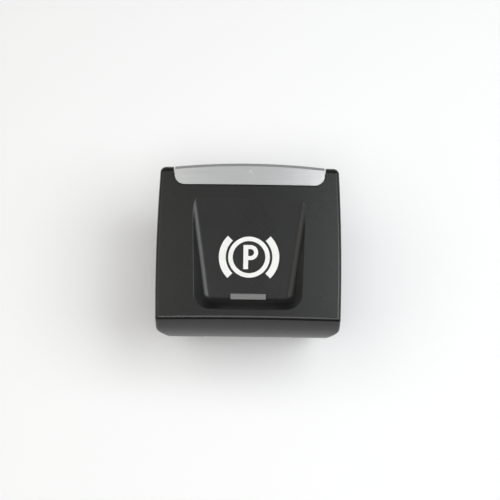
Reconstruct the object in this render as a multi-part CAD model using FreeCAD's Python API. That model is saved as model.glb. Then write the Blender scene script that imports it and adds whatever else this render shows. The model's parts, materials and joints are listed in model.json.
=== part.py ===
import FreeCAD, Part
import math
import os

V = FreeCAD.Vector

# Electric parking brake switch, in millimetres.
# X runs to the right, +Y towards the silver pull edge and Z up.
# The origin is under the middle of the whole object, on the surface it stands on.

# Outside of the rocker cap
WIDTH = 38.0
LENGTH = 35.5
HEIGHT = 25.0
WIDEST_Y = -1.9
SIDE_RADIUS = 410.0
CROWN_RADIUS = 600.0
EAR_REAR_Y = 17.05
EAR_INNER = 14.9
SKIRT_Z = 16.6
CAP_WALL = 1.8
CEILING_Z = 23.0

# Hinge of the rocker; the nose of the cap is round about it
HINGE_Y = -4.0
HINGE_Z = 17.9
NOSE_RADIUS = LENGTH / 2 + HINGE_Y
TRUNNION_RADIUS = 1.5
TRUNNION_PLAY = 0.05
TRUNNION_END = 15.9
TRUNNION_CHAMFER = 0.3

# Edges of the cap
CREASE_ROUND = 0.9
SIDE_ROUND = 0.7
REAR_ROUND = 1.5
REAR_CORNER = 1.3
NOSE_CORNER_TOP = 0.5
NOSE_CORNER_FOOT = 3.0
NOSE_CORNER_Z = 21.6
RELIEF_HALF_WIDTH = 9.2
RELIEF_DEPTH = 0.4

# Finger recess: a wedge that starts flush and is deepest in front, with walls at 45 degrees
RECESS_START_Y = 9.85
RECESS_SLOPE = 6.7
RECESS_FRONT_Y = -14.0
RECESS_HALF_REAR = 11.87
RECESS_HALF_FRONT = 11.0
RECESS_CORNER = 3.6
RECESS_DEEPEST = 2.9
RECESS_FOOT_ROUND = 2.1
RECESS_RIM_ROUND = 0.25
RECESS_WALL = 1.6

# Silver trim along the rear edge
TRIM_HALF_WIDTH = 15.6
TRIM_FRONT_Y = 12.8
TRIM_CORNER = 2.1
TRIM_BOW = 155.0
TRIM_THICK = 1.2
TRIM_LIP = 1.3
TRIM_BEAD = 0.6
BEAD_HALF = 14.4
TRIM_FOOT_Z = 18.6
TRIM_BEVEL = 0.9
TRIM_FOOT_ROUND = 0.4
TRIM_GAP = 0.25
TRIM_CLEARANCE = 0.1
SHELF_THICK = 1.3
PEG_X = 9.0
PEG_Y = 14.4
PEG_RADIUS = 0.9
PEG_HEAD = 1.3
PEG_HEAD_THICK = 0.6

# Indicator lens in the recess
LENS_Y = -10.7
LENS_LENGTH = 7.2
LENS_WIDTH = 1.17
LENS_LEDGE = 0.7
LENS_FLANGE = 0.6

# Symbol diffuser under the recess
DIFFUSER_HALF_WIDTH = 6.6
DIFFUSER_FRONT_Y = -8.4
DIFFUSER_REAR_Y = 3.2
DIFFUSER_THICK = 0.8

# Carrier under the cap
CARRIER_HALF = 13.0
CARRIER_FRONT_Y = -12.2
CARRIER_REAR_Y = 8.6
CARRIER_Z = 18.9
CARRIER_THICK = 1.3
CARRIER_CORNER = 0.8
RAIL_THICK = 0.8
RAIL_FRONT_Y = -11.0
CARRIER_RIB = 1.8
CARRIER_WINDOW_HALF = 7.0
CARRIER_WINDOW_REAR_Y = 3.6
LUG_RADIUS = 2.2
LUG_INNER = 12.6
LUG_OUTER = 14.3
STAKES = ((10.4, -6.0), (10.4, 7.3))
STAKE_RADIUS = 0.8
STAKE_PLAY = 0.1
STAKE_HEAD = 1.3
STAKE_HEAD_THICK = 0.7
STAKE_ROOT = 0.5

# Plungers and what presses them
PLUNGER_X = 9.5
APPLY_ARM = 6.0
RELEASE_ARM = 9.0
PLUNGER_RADIUS = 1.2
PLUNGER_FLANGE = 1.7
PLUNGER_FLANGE_THICK = 0.7
PLUNGER_TOP_Z = 16.4
PLUNGER_PLAY = 0.05
NUB_GAP = 0.15
NUB_RADIUS = 1.0
NUB_CHAMFER = 0.3

# Housing
HOUSING_HALF = 16.0
HOUSING_FRONT_Y = -14.2
HOUSING_REAR_Y = 10.4
HOUSING_WALL = 1.4
HOUSING_FOOT_Z = 5.0
HOUSING_TOP_Z = 19.0
HOUSING_CORNER = 1.6
INNER_CORNER = 0.8
EAR_RADIUS = 2.8
LEAD_IN_DEPTH = 0.5
FLANGE_HALF = 17.6
FLANGE_FRONT_Y = -15.4
FLANGE_Z = 12.0
FLANGE_THICK = 1.2
LEDGE_HALF = 13.4
LEDGE_DEPTH = 0.9
LEDGE_THICK = 0.8
FRONT_STOP_XS = (8.6, 12.6)
REAR_STOP_XS = (2.0, 6.0)
FRONT_STOP_Z = 17.75
REAR_STOP_Z = 17.65
GUIDE_RIB_X = 8.0
GUIDE_RIB_HALF = 0.6
GUIDE_RIB_DEPTH = 0.6

# Latches that hold the switch in its panel
LATCH_HALF_WIDTH = 3.0
LATCH_SLIT = 0.7
LATCH_ROOT_Z = 6.4
LATCH_TOP_Z = 10.8
LATCH_THINNED = 0.5
BARB_HALF_WIDTH = 2.5
BARB_FOOT_Z = 7.2
BARB_SHOULDER_Z = 9.8
BARB_REACH = 0.9
BARB_LAND = 0.5

# Hooks that hold the base cover in the housing
HOOK_YS = (-9.0, 5.0)
HOOK_HALF_WIDTH = 2.3
HOOK_PLAY = 0.2
HOOK_Z = 6.3
HOOK_HEIGHT = 1.7
HOOK_REACH = 0.7
HOOK_SLIT = 0.6
HOOK_ROOT_Z = 5.6

# Base cover with the connector socket
COVER_GAP = 0.1
COVER_WALL = 1.4
COVER_FLOOR = 1.5
COVER_CORNER = 0.7
COVER_FLANGE = (15.6, -13.8, 10.0)
COVER_FLANGE_THICK = 1.2
SOCKET_HALF = 5.5
SOCKET_FRONT_Y = 0.2
SOCKET_REAR_Y = 7.2
SOCKET_CORNER = 0.5
SOCKET_WALL = 1.2
SOCKET_ROOF_Z = 7.0
SOCKET_ROOF_THICK = 1.0
KEY_HALF_WIDTH = 1.0
KEY_DEPTH = 0.6
KEY_TOP_Z = 6.0
BOSS = (12.0, -2.5)
BOSS_RADIUS = 1.8
BOSS_PEG_RADIUS = 0.8

# Circuit board and what stands on it
BOARD_Z = 9.0
BOARD_THICK = 1.2
BOARD_GAP = 0.3
BOARD_CORNER = 1.0
PIN_PITCH = 2.54
PIN_SIZE = 0.64
PIN_TIP_Z = 4.5
PIN_TIP_CHAMFER = 0.2
PIN_TAIL = 0.7
LED_SIZE = (2.0, 1.25, 0.75)
LED_LENS_RADIUS = 0.45
LED_LENS_HEIGHT = 0.12
SYMBOL_LED = (2.6, -2.3)
INDICATOR_LED = (0.0, -10.3)
CHIP_SIZE = (1.6, 0.8, 0.45)
CHIP_Y = -7.5
CHIP_XS = (-4.5, -1.5, 1.5, 4.5)

# Silicone contact mat
MAT_THICK = 1.0
MAT_WINDOW_HALF = 6.4
MAT_WINDOW_FRONT_Y = -11.4
MAT_WINDOW_REAR_Y = 6.6
DOME_FOOT = 1.75
DOME_HEAD = 1.35
DOME_HEIGHT = 1.1
DOME_ROOF = 0.75
DOME_WEB = 0.4
PILL_RADIUS = 0.8
PILL_THICK = 0.5

# Plunger guide
GUIDE_TOP_Z = 15.4
GUIDE_THICK = 1.1
GUIDE_SKIRT = 0.9
GUIDE_WINDOW_HALF = 5.9
GUIDE_WINDOW_FRONT_Y = -11.5
GUIDE_WINDOW_REAR_Y = 1.6
GUIDE_NOTCH_TOP_Z = 13.4

# Light guide
LIGHT_GAP = 0.35
LIGHT_FLANGE_HALF = 6.7
LIGHT_FLANGE_FRONT_Y = -11.7
LIGHT_FLANGE_REAR_Y = 2.4
LIGHT_FLANGE_THICK = 0.8
SYMBOL_COLUMN_FOOT = (-4.2, 4.2, -3.6, -1.0)
SYMBOL_COLUMN = (-5.6, 5.6, -6.4, 1.2)
SYMBOL_COLUMN_TOP_Z = 19.2
INDICATOR_COLUMN = (-3.2, 3.2, -11.2, -9.4)
INDICATOR_COLUMN_TOP_Z = 18.4

# Heights and places that follow from the sizes above
BOARD_TOP_Z = BOARD_Z + BOARD_THICK
MAT_TOP_Z = BOARD_TOP_Z + MAT_THICK
DOME_TOP_Z = MAT_TOP_Z + DOME_HEIGHT
DOME_CEILING_Z = DOME_TOP_Z - DOME_ROOF
GUIDE_Z = GUIDE_TOP_Z - GUIDE_THICK
CARRIER_TOP_Z = CARRIER_Z + CARRIER_THICK
SHELF_Z = HEIGHT - TRIM_THICK
TRIM_BOW_Y = LENGTH / 2 - TRIM_BOW
INNER_HALF = HOUSING_HALF - HOUSING_WALL
INNER_FRONT_Y = HOUSING_FRONT_Y + HOUSING_WALL
INNER_REAR_Y = HOUSING_REAR_Y - HOUSING_WALL
LATCH_Y = (HOUSING_FRONT_Y + HOUSING_REAR_Y) / 2
SOCKET_Y = (SOCKET_FRONT_Y + SOCKET_REAR_Y) / 2
PLUNGERS = {"apply": HINGE_Y - APPLY_ARM, "release": HINGE_Y + RELEASE_ARM}
SIDES = {"left": -1, "right": 1}

# Longer than the object, for blocks that cut right through it
FAR = 60.0

# How far a cutting block reaches past what it cuts
SPARE = 1.0

# How far one form is rooted in another that it is moulded with
EMBED = 0.5

# An edge belongs to a face of the object within NEAR of it, or to a small face within TINY
NEAR = 1.0
TINY = 0.1


# Helpers

def box(x0, x1, y0, y1, z0, z1):
    """Block between two corners."""
    return Part.makeBox(x1 - x0, y1 - y0, z1 - z0, V(x0, y0, z0))


def post(radius, x, y, z0, z1):
    """Upright round post."""
    return Part.makeCylinder(radius, z1 - z0, V(x, y, z0))


def pillar(x, y, size, z0, z1):
    """Upright square post."""
    half = size / 2
    return box(x - half, x + half, y - half, y + half, z0, z1)


def shaft(radius, x0, x1):
    """Round bar on the hinge axis."""
    return Part.makeCylinder(radius, x1 - x0, V(x0, HINGE_Y, HINGE_Z), V(1, 0, 0))


def middle_of(edge):
    return edge.valueAt((edge.FirstParameter + edge.LastParameter) / 2)


def edges_where(shape, test):
    """Edges of a shape whose middle point passes a test."""
    return [edge for edge in shape.Edges if test(middle_of(edge))]


def slab(x0, x1, y0, y1, z0, z1, corner):
    """Block with rounded upright corners."""
    shape = box(x0, x1, y0, y1, z0, z1)
    upright = edges_where(shape, lambda p: abs(p.z - (z0 + z1) / 2) < (z1 - z0) / 4)
    return shape.makeFillet(corner, upright)


def mirrored(shape):
    """The same shape on the other side of X = 0."""
    return shape.mirror(V(0, 0, 0), V(1, 0, 0))


def both_sides(shape):
    """A shape together with its mirror image."""
    return shape.fuse(mirrored(shape))


def rounded(shape, rounds):
    """Round numbered edges in one operation, each with a radius at its start and its end."""
    document = FreeCAD.newDocument()
    base = document.addObject("Part::Feature", "Base")
    base.Shape = shape
    fillet = document.addObject("Part::Fillet", "Rounded")
    fillet.Base = base
    fillet.Edges = rounds
    document.recompute()
    result = fillet.Shape.copy()
    FreeCAD.closeDocument(document.Name)
    return result


def rounded_wire(corners, radii):
    """Closed wire through corner points, each rounded by its own radius."""
    edges = []
    starts, ends = [], []
    for i, corner in enumerate(corners):
        before = (corners[i - 1] - corner).normalize()
        after = (corners[(i + 1) % len(corners)] - corner).normalize()
        half = before.getAngle(after) / 2
        reach = radii[i] / math.tan(half)
        starts.append(corner + before * reach)
        ends.append(corner + after * reach)
        if radii[i]:
            middle = corner + (before + after).normalize() * (radii[i] / math.sin(half) - radii[i])
            edges.append(Part.Arc(starts[i], middle, ends[i]).toShape())
    for i, end in enumerate(ends):
        edges.append(Part.makeLine(end, starts[(i + 1) % len(corners)]))
    return Part.Wire(Part.__sortEdges__(edges))


def cross_section(points, y0, y1):
    """Solid from an (x, z) outline, drawn out along Y."""
    corners = [V(x, y0, z) for x, z in points]
    return Part.Face(Part.makePolygon(corners + corners[:1])).extrude(V(0, y1 - y0, 0))


def plan_rectangle(sizes, z):
    """Closed wire from x0, x1, y0, y1 at height z."""
    x0, x1, y0, y1 = sizes
    corners = [V(x0, y0, z), V(x1, y0, z), V(x1, y1, z), V(x0, y1, z)]
    return Part.makePolygon(corners + corners[:1])


# Forms of the cap that more than one piece shares

def half_width(y, inset):
    """Half the cap's width at y, between its slightly bowed sides."""
    return WIDTH / 2 - SIDE_RADIUS + math.sqrt((SIDE_RADIUS - inset) ** 2 - (y - WIDEST_Y) ** 2)


def barrel(front, rear, bottom, top, inset=0.0):
    """Upright block between the cap's bowed sides."""
    x_front, x_mid, x_rear = (half_width(y, inset) for y in (front, WIDEST_Y, rear))
    right = Part.Arc(V(x_front, front, bottom), V(x_mid, WIDEST_Y, bottom), V(x_rear, rear, bottom))
    left = Part.Arc(V(-x_rear, rear, bottom), V(-x_mid, WIDEST_Y, bottom), V(-x_front, front, bottom))
    back = Part.makeLine(V(x_rear, rear, bottom), V(-x_rear, rear, bottom))
    nose = Part.makeLine(V(-x_front, front, bottom), V(x_front, front, bottom))
    wire = Part.Wire([right.toShape(), back, left.toShape(), nose])
    return Part.Face(wire).extrude(V(0, 0, top - bottom))


def nose_y(z, radius):
    """Front of a nose that is round about the hinge, at height z."""
    return HINGE_Y - math.sqrt(radius ** 2 - (z - HINGE_Z) ** 2)


def nose_point(z, radius):
    return V(-FAR, nose_y(z, radius), z)


def nose_form(radius, heights, rear):
    """Solid with the cap's side view: flat top, straight back and a round nose between each two heights."""
    bottom, top = heights[0], heights[-1]
    edges = []
    for low, high in zip(heights, heights[1:]):
        arc = Part.Arc(*(nose_point(z, radius) for z in (low, (low + high) / 2, high)))
        edges.append(arc.toShape())
    corners = [nose_point(top, radius), V(-FAR, rear, top), V(-FAR, rear, bottom), nose_point(bottom, radius)]
    edges += [Part.makeLine(a, b) for a, b in zip(corners, corners[1:])]
    return Part.Face(Part.Wire(edges)).extrude(V(2 * FAR, 0, 0))


def under_crown():
    """All that lies under the cap's crowned top face."""
    reach = FAR / 2
    sag = CROWN_RADIUS - math.sqrt(CROWN_RADIUS ** 2 - reach ** 2)
    edge_z = HEIGHT - sag
    left, middle, right = (V(x, -FAR, z) for x, z in ((-reach, edge_z), (0, HEIGHT), (reach, edge_z)))
    corners = [right, V(reach, -FAR, -FAR), V(-reach, -FAR, -FAR), left]
    lines = [Part.makeLine(a, b) for a, b in zip(corners, corners[1:])]
    wire = Part.Wire([Part.Arc(left, middle, right).toShape()] + lines)
    return Part.Face(wire).extrude(V(0, 2 * FAR, 0))


def under_recess(depth):
    """All that lies under the recess floor, or under a face that much deeper."""
    solid = under_crown()
    solid.rotate(V(0, RECESS_START_Y, HEIGHT), V(1, 0, 0), RECESS_SLOPE)
    tilt = math.radians(RECESS_SLOPE)
    solid.translate(V(0, math.sin(tilt), -math.cos(tilt)) * depth)
    return solid


def recess_wire(z, grow):
    """Outline of the recess at height z; its 45 degree walls shift as far as they rise."""
    shift = z - HEIGHT + grow * math.sqrt(2)
    lean = (RECESS_HALF_REAR - RECESS_HALF_FRONT) / (RECESS_START_Y - RECESS_FRONT_Y)
    rear = TRIM_FRONT_Y + SPARE
    front = RECESS_FRONT_Y - shift
    x_rear = RECESS_HALF_REAR + lean * (rear - RECESS_START_Y) + shift
    x_front = RECESS_HALF_FRONT - lean * shift + shift
    corners = [V(-x_front, front, z), V(x_front, front, z), V(x_rear, rear, z), V(-x_rear, rear, z)]
    corner = RECESS_CORNER + shift
    return rounded_wire(corners, [corner, corner, 0, 0])


def recess_form(grow=0.0):
    """The wedge that the recess takes out, or the larger one that its shell stands round."""
    low = HEIGHT - RECESS_DEEPEST - grow
    walls = Part.makeLoft([recess_wire(low, grow), recess_wire(HEIGHT + 2 * SPARE, grow)], True, True)
    return walls.cut(under_recess(grow))


def recess_tool():
    """The recess wedge with its foot rounded."""
    wedge = recess_form()
    floor = max((f for f in wedge.Faces if f.normalAt(0, 0).z < -0.9), key=lambda f: f.Area)
    foot = [e for e in floor.OuterWire.Edges if middle_of(e).y < TRIM_FRONT_Y]
    return wedge.makeFillet(RECESS_FOOT_ROUND, foot)


def bar_through_recess(y, length, width):
    """Bar that stands square on the recess floor, centred where the floor is at y."""
    flat_y = RECESS_START_Y - (RECESS_START_Y - y) / math.cos(math.radians(RECESS_SLOPE))
    bar = box(-length / 2, length / 2, flat_y - width / 2, flat_y + width / 2,
              HEIGHT - 2 * RECESS_DEEPEST, HEIGHT + RECESS_DEEPEST)
    bar.rotate(V(0, RECESS_START_Y, HEIGHT), V(1, 0, 0), RECESS_SLOPE)
    return bar


def layer(solid, near, deep):
    """What of a solid lies between two depths under the recess floor."""
    return solid.common(under_recess(near)).cut(under_recess(deep))


def trim_plan(gap, z0, z1):
    """Upright block with the trim's straight front edge and round front corners."""
    half = TRIM_HALF_WIDTH + gap
    front = TRIM_FRONT_Y - gap
    corners = [V(-half, front, z0), V(half, front, z0), V(half, FAR / 2, z0), V(-half, FAR / 2, z0)]
    wire = rounded_wire(corners, [TRIM_CORNER + gap, TRIM_CORNER + gap, 0, 0])
    return Part.Face(wire).extrude(V(0, 0, z1 - z0))


def bow(inset):
    """Round column whose rear is the trim's bowed rear face, or one that much further in."""
    return post(TRIM_BOW - inset, 0, TRIM_BOW_Y, -FAR, FAR)


# Rocker

def cap_block():
    """Outside of the cap with all its edges rounded, the nose corners growing towards their foot."""
    shape = barrel(-LENGTH / 2 - SPARE, EAR_REAR_Y, SKIRT_Z, HEIGHT + SPARE)
    side_view = nose_form(NOSE_RADIUS, (SKIRT_Z - SPARE, NOSE_CORNER_Z, HEIGHT + SPARE), FAR / 2)
    shape = shape.common(side_view).common(under_crown())
    rounds = []
    for number, edge in enumerate(shape.Edges, 1):
        middle = middle_of(edge)
        at_side = abs(middle.x) > WIDTH / 4
        if middle.z > HEIGHT - NEAR:
            radius = SIDE_ROUND if at_side else CREASE_ROUND if middle.y < 0 else REAR_ROUND
            rounds.append((number, radius, radius))
        elif at_side and middle.y > EAR_REAR_Y - NEAR:
            rounds.append((number, REAR_CORNER, REAR_CORNER))
        elif at_side and middle.y < HOUSING_FRONT_Y:
            foot = NOSE_CORNER_TOP if middle.z > NOSE_CORNER_Z else NOSE_CORNER_FOOT
            rounds.append((number, foot, NOSE_CORNER_TOP))
    return rounded(shape, rounds)


def recessed_block():
    """The cap block with the finger recess in it, round at the rim."""
    shape = cap_block().cut(recess_tool())
    rim = edges_where(shape, lambda p: abs(p.x) < RECESS_HALF_REAR + NEAR and p.z > HEIGHT - NEAR / 2
                      and RECESS_FRONT_Y - NEAR < p.y < RECESS_START_Y - NEAR)
    return shape.makeFillet(RECESS_RIM_ROUND, rim)


def cap_hollow():
    """Inside of the cap, which keeps a shell round the recess and a shelf under the trim."""
    inner = barrel(-LENGTH / 2, TRIM_FRONT_Y, 0, HEIGHT, CAP_WALL)
    inner = inner.common(nose_form(NOSE_RADIUS - CAP_WALL, (SKIRT_Z - SPARE, CEILING_Z), TRIM_FRONT_Y))
    rear = box(-EAR_INNER, EAR_INNER, TRIM_FRONT_Y - SPARE, FAR / 2, SKIRT_Z - SPARE, SHELF_Z - SHELF_THICK)
    return inner.cut(recess_form(RECESS_WALL)).fuse(rear)


def trim_pocket():
    """Room for the trim: a step in the top face, and the open back that its lip closes."""
    step = trim_plan(TRIM_GAP, SHELF_Z, HEIGHT + SPARE)
    back = trim_plan(TRIM_GAP, SKIRT_Z - SPARE, HEIGHT + SPARE).cut(bow(TRIM_LIP + TRIM_CLEARANCE))
    return step.fuse(back)


def stakes():
    """Moulded pins of the cap, melted over under the carrier."""
    shape = None
    for x, y in STAKES:
        head_z = CARRIER_Z - STAKE_HEAD_THICK
        pin = post(STAKE_RADIUS, x, y, head_z, HEIGHT - STAKE_ROOT)
        head = post(STAKE_HEAD, x, y, head_z, CARRIER_Z)
        head = head.makeChamfer(STAKE_HEAD_THICK / 2, edges_where(head, lambda p: p.z < head_z + TINY))
        stake = pin.cut(recess_form(STAKE_ROOT)).fuse(head)
        shape = shape.fuse(stake) if shape else stake
    return both_sides(shape)


def rocker_cap():
    """Black cap of the rocker, one moulding."""
    cap = recessed_block().cut(cap_hollow()).cut(trim_pocket())
    relief = box(-RELIEF_HALF_WIDTH, RELIEF_HALF_WIDTH, -LENGTH, HINGE_Y, SKIRT_Z - SPARE,
                 SKIRT_Z + RELIEF_DEPTH)
    pegs = both_sides(post(PEG_RADIUS, PEG_X, PEG_Y, SHELF_Z - SHELF_THICK - SPARE, SHELF_Z + SPARE))
    slot = bar_through_recess(LENS_Y, LENS_LENGTH, LENS_WIDTH)
    return cap.cut(relief).cut(pegs).cut(slot).fuse(stakes())


def trim_bar():
    """Silver pull edge: a crowned bar with a bevelled rear and a lip that hangs down behind the cap."""
    body = trim_plan(0, TRIM_FOOT_Z, HEIGHT + SPARE).common(bow(0)).common(under_crown())
    body = body.makeChamfer(TRIM_BEVEL, edges_where(body, lambda p: p.z > HEIGHT - NEAR and p.y > EAR_REAR_Y))
    foot = edges_where(body, lambda p: p.z < TRIM_FOOT_Z + TINY and p.y > EAR_REAR_Y)
    body = body.makeFillet(TRIM_FOOT_ROUND, foot)
    under = trim_plan(SPARE, TRIM_FOOT_Z - SPARE, SHELF_Z).common(bow(TRIM_LIP))
    bead = trim_plan(0, TRIM_FOOT_Z, TRIM_FOOT_Z + 2 * TRIM_BEAD).common(bow(TRIM_FOOT_ROUND))
    bead = bead.cut(bow(TRIM_LIP + TRIM_BEAD)).common(box(-BEAD_HALF, BEAD_HALF, 0, FAR, 0, FAR))
    shelf_foot = SHELF_Z - SHELF_THICK
    pegs = both_sides(post(PEG_RADIUS, PEG_X, PEG_Y, shelf_foot - PEG_HEAD_THICK, SHELF_Z + EMBED))
    heads = both_sides(post(PEG_HEAD, PEG_X, PEG_Y, shelf_foot - PEG_HEAD_THICK, shelf_foot))
    return body.cut(under).fuse([bead, pegs, heads])


def indicator_lens():
    """Grey lens of the indicator lamp, flush with the recess floor, on a ledge under it."""
    face = layer(bar_through_recess(LENS_Y, LENS_LENGTH, LENS_WIDTH), 0, RECESS_WALL)
    wide, deep = LENS_LENGTH + 2 * LENS_LEDGE, LENS_WIDTH + 2 * LENS_LEDGE
    ledge = layer(bar_through_recess(LENS_Y, wide, deep), RECESS_WALL, RECESS_WALL + LENS_FLANGE)
    return face.fuse(ledge)


def symbol_diffuser():
    """Translucent plate under the part of the recess that carries the lit symbol."""
    block = box(-DIFFUSER_HALF_WIDTH, DIFFUSER_HALF_WIDTH, DIFFUSER_FRONT_Y, DIFFUSER_REAR_Y,
                HOUSING_TOP_Z, HEIGHT)
    return layer(block, RECESS_WALL, RECESS_WALL + DIFFUSER_THICK)


def carrier_lug():
    """Side plate of the carrier with the trunnion that the rocker turns on."""
    plate = box(LUG_INNER, LUG_OUTER, HINGE_Y - LUG_RADIUS, HINGE_Y + LUG_RADIUS, HINGE_Z, CARRIER_TOP_Z)
    trunnion = shaft(TRUNNION_RADIUS, LUG_INNER, TRUNNION_END)
    rim = edges_where(trunnion, lambda p: p.x > TRUNNION_END - TINY)
    trunnion = trunnion.makeChamfer(TRUNNION_CHAMFER, rim)
    return plate.fuse([shaft(LUG_RADIUS, LUG_INNER, LUG_OUTER), trunnion])


def nub(y):
    """Round foot of the carrier that meets a plunger."""
    foot_z = PLUNGER_TOP_Z + NUB_GAP
    shape = post(NUB_RADIUS, PLUNGER_X, y, foot_z, CARRIER_Z)
    return shape.makeChamfer(NUB_CHAMFER, edges_where(shape, lambda p: p.z < foot_z + TINY))


def rocker_carrier():
    """Frame under the cap: it hangs on the trunnions and presses the plungers."""
    frame = slab(-CARRIER_HALF, CARRIER_HALF, CARRIER_FRONT_Y, CARRIER_REAR_Y, CARRIER_Z, CARRIER_TOP_Z,
                 CARRIER_CORNER)
    window = box(-CARRIER_WINDOW_HALF, CARRIER_WINDOW_HALF, -FAR, CARRIER_WINDOW_REAR_Y, 0, FAR)
    rail_inner = CARRIER_HALF - RAIL_THICK
    rail_rear = CARRIER_REAR_Y - CARRIER_CORNER
    rail = box(rail_inner, CARRIER_HALF, RAIL_FRONT_Y, rail_rear, CARRIER_Z, CEILING_Z)
    rib = box(-rail_inner, rail_inner, rail_rear - RAIL_THICK, rail_rear, CARRIER_Z,
              CARRIER_TOP_Z + CARRIER_RIB)
    side = carrier_lug().fuse([rail] + [nub(y) for y in PLUNGERS.values()])
    frame = frame.cut(window).fuse([rib, both_sides(side)])
    for x, y in STAKES:
        frame = frame.cut(both_sides(post(STAKE_RADIUS + STAKE_PLAY, x, y, CARRIER_Z - SPARE, FAR)))
    return frame.removeSplitter()


# Housing

def housing_ledges():
    """Ledges over the plunger guide, with the stops that end the rocker's travel."""
    front_edge, rear_edge = INNER_FRONT_Y + LEDGE_DEPTH, INNER_REAR_Y - LEDGE_DEPTH
    ledge_top = GUIDE_TOP_Z + LEDGE_THICK
    front_root, rear_root = HOUSING_FRONT_Y + EMBED, HOUSING_REAR_Y - EMBED
    front = box(-LEDGE_HALF, LEDGE_HALF, front_root, front_edge, GUIDE_TOP_Z, ledge_top)
    rear = box(-LEDGE_HALF, LEDGE_HALF, rear_edge, rear_root, GUIDE_TOP_Z, ledge_top)
    front_stop = both_sides(box(*FRONT_STOP_XS, front_root, front_edge, GUIDE_TOP_Z, FRONT_STOP_Z))
    rear_stop = both_sides(box(*REAR_STOP_XS, rear_edge, rear_root, GUIDE_TOP_Z, REAR_STOP_Z))
    return front.fuse([rear, front_stop, rear_stop])


def pivot_ear():
    """Raised part of the side wall round the trunnion."""
    ear = shaft(EAR_RADIUS, INNER_HALF, HOUSING_HALF)
    return ear.fuse(box(INNER_HALF, HOUSING_HALF, HINGE_Y - EAR_RADIUS, HINGE_Y + EAR_RADIUS,
                        HINGE_Z - EAR_RADIUS, HINGE_Z))


def lead_in():
    """Sloped groove that spreads the side walls when the trunnions are pushed in."""
    top = HINGE_Z + EAR_RADIUS + TINY
    slope = [(INNER_HALF - TINY, top), (INNER_HALF + LEAD_IN_DEPTH, top), (INNER_HALF - TINY, HINGE_Z)]
    return cross_section(slope, HINGE_Y - TRUNNION_RADIUS, HINGE_Y + TRUNNION_RADIUS)


def latch_cuts():
    """Slits that free the panel latch on three sides, and the pocket that thins it."""
    outer = LATCH_HALF_WIDTH + LATCH_SLIT
    top = LATCH_TOP_Z + LATCH_SLIT
    around = box(INNER_HALF - SPARE, FAR, LATCH_Y - outer, LATCH_Y + outer, LATCH_ROOT_Z, top)
    tongue = box(0, FAR, LATCH_Y - LATCH_HALF_WIDTH, LATCH_Y + LATCH_HALF_WIDTH, 0, LATCH_TOP_Z)
    thinned = box(INNER_HALF - SPARE, INNER_HALF + LATCH_THINNED, LATCH_Y - outer, LATCH_Y + outer,
                  LATCH_ROOT_Z, top)
    return around.cut(tongue).fuse(thinned)


def latch_barb():
    """Barb that snaps under the panel."""
    face = HOUSING_HALF - EMBED
    tip = HOUSING_HALF + BARB_REACH
    outline = [(face, BARB_FOOT_Z), (HOUSING_HALF, BARB_FOOT_Z), (tip, BARB_SHOULDER_Z - BARB_LAND),
               (tip, BARB_SHOULDER_Z), (face, BARB_SHOULDER_Z)]
    return cross_section(outline, LATCH_Y - BARB_HALF_WIDTH, LATCH_Y + BARB_HALF_WIDTH)


def housing():
    """Open frame that carries the rocker, with a flange, panel latches and pivot ears."""
    flange_top = FLANGE_Z + FLANGE_THICK
    walls = slab(-HOUSING_HALF, HOUSING_HALF, HOUSING_FRONT_Y, HOUSING_REAR_Y, HOUSING_FOOT_Z,
                 HOUSING_TOP_Z, HOUSING_CORNER)
    flange = slab(-FLANGE_HALF, FLANGE_HALF, FLANGE_FRONT_Y, HOUSING_REAR_Y, FLANGE_Z, flange_top,
                  HOUSING_CORNER)
    inner = slab(-INNER_HALF, INNER_HALF, INNER_FRONT_Y, INNER_REAR_Y, 0, FAR, INNER_CORNER)
    ribs = both_sides(box(GUIDE_RIB_X - GUIDE_RIB_HALF, GUIDE_RIB_X + GUIDE_RIB_HALF,
                          HOUSING_REAR_Y - EMBED, HOUSING_REAR_Y + GUIDE_RIB_DEPTH, HOUSING_FOOT_Z,
                          flange_top))
    shape = walls.fuse([flange, ribs, both_sides(pivot_ear())]).cut(inner)
    cuts = lead_in().fuse([shaft(TRUNNION_RADIUS + TRUNNION_PLAY, INNER_HALF - SPARE, FAR), latch_cuts()])
    half = HOOK_HALF_WIDTH + HOOK_PLAY
    window_top = HOOK_Z + HOOK_HEIGHT + HOOK_PLAY
    for y in HOOK_YS:
        cuts = cuts.fuse(box(INNER_HALF - SPARE, FAR, y - half, y + half, HOOK_Z, window_top))
    shape = shape.cut(both_sides(cuts)).fuse([housing_ledges(), both_sides(latch_barb())])
    return shape.removeSplitter()


def hook(y):
    """Wedge on the cover's wall that snaps into a window of the housing."""
    face = INNER_HALF - COVER_GAP
    outline = [(face - EMBED, HOOK_Z), (face + HOOK_REACH, HOOK_Z), (face, HOOK_Z + HOOK_HEIGHT),
               (face - EMBED, HOOK_Z + HOOK_HEIGHT)]
    return cross_section(outline, y - HOOK_HALF_WIDTH, y + HOOK_HALF_WIDTH)


def hook_slits(y):
    """Slits on both sides of a hook, so that its stretch of wall can bend."""
    shape = None
    for side in (-1, 1):
        edge = y + side * (HOOK_HALF_WIDTH + HOOK_SLIT / 2)
        slit = box(INNER_HALF - COVER_GAP - COVER_WALL - EMBED, INNER_HALF, edge - HOOK_SLIT / 2,
                   edge + HOOK_SLIT / 2, HOOK_ROOT_Z, BOARD_Z + SPARE)
        shape = shape.fuse(slit) if shape else slit
    return shape


def pin_places():
    """Two rows of three pins in the connector socket."""
    rows = (SOCKET_Y - PIN_PITCH / 2, SOCKET_Y + PIN_PITCH / 2)
    return [(column * PIN_PITCH, y) for y in rows for column in (-1, 0, 1)]


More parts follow.
